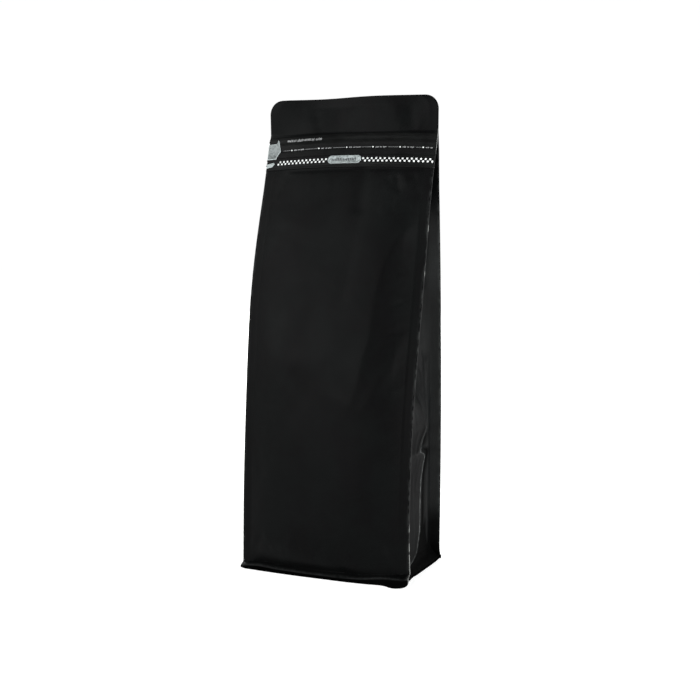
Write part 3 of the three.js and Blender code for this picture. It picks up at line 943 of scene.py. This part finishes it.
def buildCutEdge(name, side, way, bright, width):
    foot, top, step = edgeForm["foot"], edgeForm["top"], edgeForm["step"]
    z = np.concatenate([np.arange(foot, pouch["bandFoot"], step), np.arange(pouch["bandFoot"], top, step)])
    z = z[:, None]
    half = halfWidth(z)
    front, back = frontY(side * half, z), backY(side * half, z)
    thick = (back - front) / 2
    thick = np.where(z < pouch["bandFoot"], np.minimum(pouch["sealThickness"], thick / 2), thick)
    wide = listed(z, width) * (1 + edgeForm["wear"] * np.sin(z * 1.9) * np.sin(z * 0.77 + 1))
    wide = np.minimum(wide, sealWidth(z) - 0.2)
    rim = panelY(way, side * half, z)
    proud = edgeForm["proud"]
    profile = [
        (half - wide, panelY(way, side * (half - wide), z) + way * proud * 0.5),
        (half - wide * 0.5, panelY(way, side * (half - wide * 0.5), z) + way * proud),
        (half + 0.05, rim + way * proud),
        (half + 0.12 + proud, rim - way * thick / 2),
        (half + 0.05, rim - way * (thick + proud * 0.8)),
        (half - 0.25, rim - way * (thick + proud * 0.3)),
        (half - 0.25, rim - way * thick * 0.5),
        (half - wide, rim - way * thick * 0.4),
    ]
    x, y = [np.concatenate(values, 1) for values in zip(*profile)]
    points = np.stack([side * x, y, np.broadcast_to(z, x.shape)], 2).reshape(-1, 3)
    rows = np.arange(x.size).reshape(x.shape)
    turn = -side * way
    faces = gridFaces(rows, flip=turn < 0) + [rows[0][::-turn], rows[-1][::turn]]
    shown = np.repeat(listed(z, bright), x.shape[1])
    made = meshPiece(name, points, faces, materials["edge"], 60, {"bright": shown})


for row in cutEdges:
    buildCutEdge(*row)
print("cut edges built")


# The tear tape

tape = {
    "bottom": 289,
    "top": 313.6,
    "end": 64.4,
    "gap": 0.3,
    "thickness": 0.5,
    "rise": 1.5,
    "rail": (291.6, 297.4),
    "railRelief": 0.25,
    "railEdge": 0.5,
    "tearLine": 303.1,
    "tearDepth": 0.2,
    "tearHalf": 0.7,
    "ribs": (307.2, 311.4),
    "ribRelief": 0.26,
    "ribHalf": 1.6,
}


def rise(x):
    return tape["rise"] * (1 - (x / tape["end"]) ** 2)


def tapeCover(v):
    foot, top = tape["rail"]
    edge = tape["railEdge"]
    rail = tape["railRelief"] * smooth(foot - edge, foot, v) * (1 - smooth(top, top + edge, v))
    tear = tape["tearDepth"] * bump(v, tape["tearLine"], tape["tearHalf"])
    ribs = sum(tape["ribRelief"] * bump(v, r, tape["ribHalf"]) for r in tape["ribs"])
    rounded = smooth(0, 0.5, v - tape["bottom"]) * smooth(0, 0.5, tape["top"] - v)
    return (tape["thickness"] + rail - tear + ribs) * (0.45 + 0.55 * rounded)


# A point on the tape: x, height above the tape's own lines, and how far it stands off the tape's face
def onTape(x, v, off):
    z = v + rise(x)
    return np.stack([x, frontY(x, z) - tape["gap"] - tapeCover(v) - off, z], -1)


def buildTape():
    ends = np.linspace(-1, 1, 141)
    v = np.concatenate([np.linspace(tape["bottom"], tape["bottom"] + 0.6, 4), np.arange(290, 313, 0.42),
                        np.linspace(tape["top"] - 0.55, tape["top"], 4)])
    ragged = 0.35 * np.sin(v * 2.3) * np.sin(v * 0.9 + 2)
    x, v = np.meshgrid(tape["end"] * ends, v, indexing="ij")
    x = x + ragged[None, :] * (np.abs(ends)[:, None] > 0.999) * np.sign(ends)[:, None]
    face = onTape(x, v, 0.0)
    back = np.stack([x, frontY(x, v + rise(x)) - 0.03, v + rise(x)], -1)
    top = np.arange(x.size).reshape(x.shape)
    rim = np.array([*top[:, 0], *top[-1, 1:], *top[-2::-1, -1], *top[0, -2:0:-1]])
    faces = gridFaces(top.T, False) + gridFaces(top + x.size, False)
    faces += gridFaces([rim, rim + x.size], flip=True)
    points = np.concatenate([face.reshape(-1, 3), back.reshape(-1, 3)])
    return meshPiece("tape_strip", points, faces, materials["tape"], 50)


strip = buildTape()
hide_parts("tear_tape")


# Flat prints on the tape: each is an outline in x and v, closed by a fan round its middle
def printPiece(name, outlines, material, sink=0.12, off=0.05, place=onTape):
    points, faces = [], []
    for outline in outlines:
        outline = np.asarray(outline, float)
        middle = outline.mean(0)
        first = sum(len(p) for p in points)
        count = len(outline)
        x, v = outline[:, 0], outline[:, 1]
        points.append(place(x, v, -sink))
        points.append(place(x, v, off))
        points.append(place(np.array([middle[0]]), np.array([middle[1]]), off))
        low, high = first + np.arange(count), first + count + np.arange(count)
        faces += gridFaces([high[::-1], low[::-1]])
        faces += [(high[i], high[(i + 1) % count], first + 2 * count) for i in range(count)]
        faces.append(tuple(low[::-1]))
    made = meshPiece(name, np.concatenate(points), faces, material, 35)


def box(left, right, low, high):
    return [(left, low), (right, low), (right, high), (left, high)]


def disc(x, v, radius, count=14):
    return [(x + radius * math.cos(2 * math.pi * i / count), v + radius * math.sin(2 * math.pi * i / count))
            for i in range(count)]


prints = {
    "period": 3.17,
    "square": 1.26,
    "lowRow": 292.75,
    "highRow": 294.4,
    "lowStart": -54.6,
    "lowEnd": 63.9,
    "highEnd": 62.9,
    "plateHalf": 12.9,
    "dots": (-44.0, -21.7, 0.1, 19.9, 39.6, 55.8),
    "dotHeight": 303.25,
    "dotRadius": 0.5,
    "lineHalf": 0.15,
    "note": (-48.6, -20.8),
    "noteHeight": 309.5,
}


def checkSquares():
    squares = []
    size, period = prints["square"], prints["period"]
    for x in np.arange(prints["lowStart"], prints["lowEnd"], period):
        for start, low, end in ((x, prints["lowRow"], prints["lowEnd"]),
                                (x + period / 2, prints["highRow"], prints["highEnd"])):
            if abs(start + size / 2) > prints["plateHalf"] and start + 0.4 < end:
                squares.append(box(start, min(start + size, end + 0.2), low, low + size))
    return squares


# Short plain dashes in the place of small words
def wordDashes(start, end, low, height, seed, gaps, runs):
    draw = random.Random(seed)
    dashes = []
    x = start
    while x < end - 0.4:
        run = draw.uniform(*runs)
        drop = draw.uniform(-0.12, 0.12) * height
        top = low + drop + height * draw.uniform(0.75, 1.05)
        dashes.append(box(x, min(x + run, end), low + drop, top))
        x += run + draw.uniform(*gaps)
    return dashes


discs = [disc(x, prints["dotHeight"], prints["dotRadius"]) for x in prints["dots"]]
printPiece("check_print", checkSquares(), materials["ink"])
printPiece("dot_print", discs, materials["ink"])
dashes = []
dots = prints["dots"]
spans = [(-51.6, dots[0] - 1.1)]
for i, x in enumerate(dots):
    after = dots[i + 1] if i + 1 < len(dots) else tape["end"]
    last = min(x + 10.6, after - 1.2)
    for k, (a, b) in enumerate(((1.9, 4.4), (5.2, 6.6), (7.4, 10.4))):
        if x + a < last:
            low = prints["dotHeight"] - 0.45
            seed = 70 + 3 * i + k
            dashes += wordDashes(x + a, min(x + b, last), low, 0.9, seed, (0.18, 0.3), (0.4, 0.75))
    spans.append((min(last + 0.6, after - 1.3), after - 1.1))
printPiece("dash_print", dashes, materials["words"])
lines = []
low, high = prints["dotHeight"] - prints["lineHalf"], prints["dotHeight"] + prints["lineHalf"]
for left, right in spans:
    cuts = np.linspace(left, right, max(2, int((right - left) / 3) + 1))
    lines += [box(a, b, low, high) for a, b in zip(cuts, cuts[1:]) if b - a > 0.2]
printPiece("line_print", lines, materials["faint"])
note = []
for k, (a, b) in enumerate(((0, 0.17), (0.2, 0.27), (0.3, 0.47), (0.5, 0.68), (0.71, 0.8), (0.83, 1))):
    left, right = mix(*prints["note"], a), mix(*prints["note"], b)
    note += wordDashes(left, right, prints["noteHeight"], 1.7, 40 + k, (0.22, 0.4), (0.4, 0.85))
printPiece("note_print", note, materials["words"])
print("tape and prints built")


# Raised silver marks. Each is a stack of rings: the outline drawn towards its middle, with a height off the
# film for each ring.
def onFilm(x, v, off):
    return np.stack([x, frontY(x, v) - off, v], -1)


def ringPiece(name, rings, offs, material, sharp):
    count = len(rings[0])
    points = [onFilm(*np.asarray(ring, float).T, off) for ring, off in zip(rings, offs)]
    rows = np.arange(len(rings) * count).reshape(len(rings), count)
    faces = gridFaces(rows) + [rows[-1], rows[0][::-1]]
    rim = np.repeat([1.0 if r in (1, 2) else 0.0 for r in range(len(rings))], count)
    return meshPiece(name, np.concatenate(points), faces, material, sharp, {"rim": rim})


def finer(outline, step=0.8):
    points = []
    for (ax, az), (bx, bz) in zip(outline, outline[1:] + outline[:1]):
        parts = max(1, round(math.hypot(bx - ax, bz - az) / step))
        points += [(mix(ax, bx, i / parts), mix(az, bz, i / parts)) for i in range(parts)]
    return points


def drawnIn(outline, share):
    outline = np.asarray(outline, float)
    middle = 0.5 * (outline.min(0) + outline.max(0))
    return middle + (outline - middle) * share


tab = {
    "neck": -57.2,
    "outline": [(-64.4, 297.2), (-56.8, 297.5), (-55.8, 299.8), (-53.4, 303.2), (-55.7, 310.3),
                (-56.6, 311.8), (-57.6, 309), (-64.4, 308.6)],  # before the tape's rise
    "drawn": (1, 1, 0.97, 0.88, 0.82, 0.5, 0.2),
    "offs": (0.3, 1.25, 1.4, 1.42, 1.3, 1.28, 1.28),
}
mark = {
    "outline": [(-64.2, 290.9), (-59.2, 292.1), (-57.2, 294.2), (-58.4, 295.4), (-64.2, 294.2)],
    "drawn": (1, 1, 0.94, 0.8, 0.4),
    "offs": (0.3, 1.25, 1.4, 1.42, 1.4),
}
plate = {
    "length": 25.4,
    "height": 5.7,
    "centre": 294.5 + tape["rise"],
    "face": 1.28,
    "radii": (2.85, 2.85, 2.7, 2.3, 2.1, 1.2, 0.35),
    "offs": (0.3, 1.28, 1.46, 1.5, 1.3, 1.28, 1.28),
}


# Two half circles, joined by straight sides
def plateRing(radius, count=22, steps=16):
    reach, centre = (plate["length"] - plate["height"]) / 2, plate["centre"]
    points = []
    for side in (1, -1):
        for i in range(count + 1):
            angle = math.pi * (i / count - side / 2)
            points.append((side * reach + radius * math.cos(angle), centre + radius * math.sin(angle)))
        for k in range(1, steps):
            points.append((side * mix(reach, -reach, k / steps), centre + side * radius))
    return points


lift = float(rise(tab["neck"]))
tabRings = [drawnIn(finer([(x, z + lift) for x, z in tab["outline"]]), share) for share in tab["drawn"]]
markRings = [drawnIn(finer(mark["outline"]), share) for share in mark["drawn"]]
plateRings = [plateRing(radius) for radius in plate["radii"]]
for name, node, rings, form, look, sharp in (
    ("silver_tab", "pull_tab", tabRings, tab, "tab", 35),
    ("silver_end_mark", "end_mark", markRings, mark, "plate", 35),
    ("silver_plate", "pill_plate", plateRings, plate, "plate", 50),
):
    made = ringPiece(name, rings, form["offs"], materials[look], sharp)
    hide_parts(node)


def onPlate(x, v, off):
    return onFilm(x, v, plate["face"] + off)


ticks = wordDashes(-9.4, 9.6, plate["centre"] - 1.15, 2.2, 7, (0.5, 0.8), (0.5, 0.8))
printPiece("plate_ticks", ticks, materials["dark"], 0.2, place=onPlate)
print("marks built")


# Floor, light and camera

# The floor's own glow grows with the distance, so that it runs into the room without an edge
def floorMaterial():
    look = Look("pale floor")
    shade = look.colour(look.noise(300, 2), grey(0.40), grey(0.43))
    away = look.node("VectorMath", {"operation": "LENGTH"}, {0: look.places()}, 1)
    glow = look.colour(look.limited(away, 900, 2200), grey(0.74), grey(1))
    return look.finish(look.surface(shade, 0.9, 0.1, {"Emission Color": glow, "Emission Strength": 1.0}))


floor = bpy.data.meshes.new("floor")
floor.from_pydata([(-4, -4, 0), (4, -4, 0), (4, 4, 0), (-4, 4, 0)], [], [(0, 1, 2, 3)])
floor.materials.append(floorMaterial())
placed("floor", floor)

# A white room with a darker ceiling
room = {"walls": 1.01, "ceiling": 0.14, "from": 0.2, "to": 0.62}
world = bpy.data.worlds.new("soft white room")
bpy.context.scene.world = world
look = Look(world.name, world)
up = look.node("SeparateXYZ", None, {0: look.node("TexCoord")}, 2)
dark = look.limited(up, room["from"], room["to"])
strength = room["walls"] - dark * (room["walls"] - room["ceiling"])
look.node("OutputWorld", None, {
    "Surface": look.node("Background", None, {"Color": grey(1), "Strength": strength})})

# Softboxes, aimed at the pouch: place, size and radiant power
softboxes = {
    "key_left": {"at": (-1.02, -1.74, 0.95), "size": (2.6, 1.6), "power": 61},
    "fill_right": {"at": (1.82, -0.6, 0.38), "size": (2.6, 0.72), "power": 62},
    "back_high": {"at": (-0.6, 1.9, 1.0), "size": (2.4, 1.6), "power": 125},
    "left": {"at": (-1.9, 0.5, 0.7), "size": (0.8, 1.2), "power": 16},
}
aim = Vector((0, 0, 0.2))
for name, form in softboxes.items():
    light = bpy.data.lights.new(name, "AREA")
    light.shape = "RECTANGLE"
    light.size, light.size_y = form["size"]
    light.energy = form["power"]
    lamp = placed(name, light)
    lamp.visible_camera = False
    lamp.location = form["at"]
    lamp.rotation_euler = (aim - Vector(form["at"])).to_track_quat("-Z", "Y").to_euler()

view = {
    "at": (0.3129, -0.7463, 0.2507),
    "tilt": 90 - 6.495,
    "turn": 22.345,
    "lens": 36 * 1119.7 / 700,
    "shift": 0.3 / 700,
}
cameraData = bpy.data.cameras.new("camera")
cameraData.sensor_width = 36
cameraData.lens = view["lens"]
cameraData.shift_x = -view["shift"]
cameraData.shift_y = view["shift"]
camera = placed("camera", cameraData)
camera.location = view["at"]
camera.rotation_euler = (math.radians(view["tilt"]), 0, math.radians(view["turn"]))
bpy.context.scene.camera = camera
bpy.context.scene.view_settings.view_transform = "Standard"
print("stage set")
